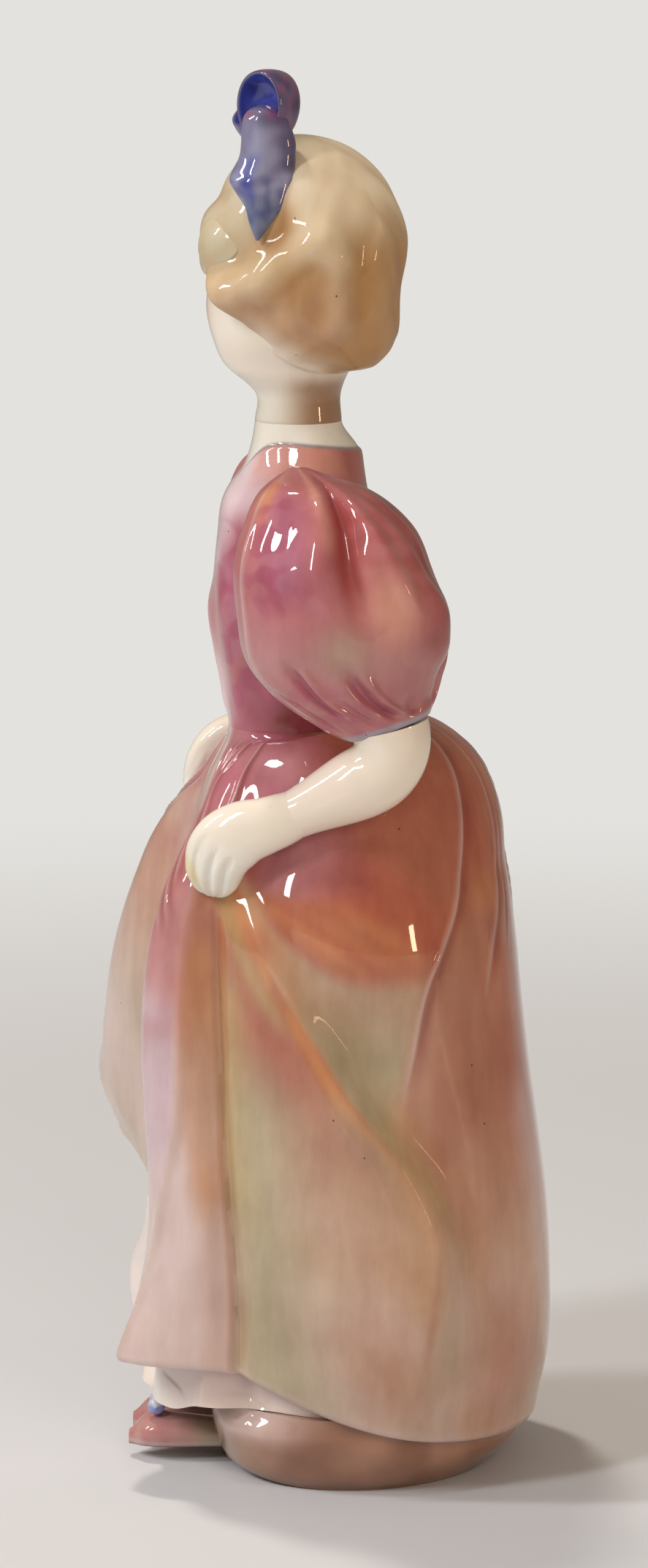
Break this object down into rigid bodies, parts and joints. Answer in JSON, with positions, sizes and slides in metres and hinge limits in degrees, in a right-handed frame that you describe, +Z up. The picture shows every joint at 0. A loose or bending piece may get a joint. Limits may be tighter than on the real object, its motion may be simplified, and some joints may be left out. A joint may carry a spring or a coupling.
{
  "type": "bone china figurine",
  "caption": "Hollow bone china lady standing on an oval base and holding out a draped skirt, with puffed sleeves, rolled hair and a ribbon bow.",
  "frame": {"origin": "middle of the foot, on the surface it stands on", "axes": "+Z up, -Y towards the figure's front, +X towards the figure's left"},
  "size_m": [0.0516, 0.0506, 0.15],
  "materials": {
    "rose_glaze": "gloss glaze over hand-painted rose",
    "skirt_glaze": "gloss glaze over hand-painted rose, peach and sage",
    "white_glaze": "gloss glaze over white bone china",
    "skin_glaze": "gloss glaze over ivory bone china",
    "hair_glaze": "gloss glaze over hand-painted blonde",
    "ribbon_glaze": "gloss glaze over hand-painted lilac and blue",
    "base_glaze": "gloss glaze over hand-painted pink brown",
    "shoe_glaze": "gloss glaze over hand-painted pink"
  },
  "bodies": {
    "root": {"base": "base_glaze", "base_plate": "base_glaze", "underskirt": "white_glaze", "overskirt": "skirt_glaze", "left_shoe": "shoe_glaze", "right_shoe": "shoe_glaze", "left_shoe_bow": "ribbon_glaze", "right_shoe_bow": "ribbon_glaze", "bodice": "rose_glaze", "left_sleeve": "rose_glaze", "right_sleeve": "rose_glaze", "left_forearm": "skin_glaze", "right_forearm": "skin_glaze", "left_hand": "skin_glaze", "right_hand": "skin_glaze", "head": "skin_glaze", "hair": "hair_glaze", "front_curls": "hair_glaze", "bow_knot": "ribbon_glaze", "bow_upper_loop": "ribbon_glaze", "bow_far_loop": "ribbon_glaze", "bow_near_tail": "ribbon_glaze"}
  },
  "joints": []
}
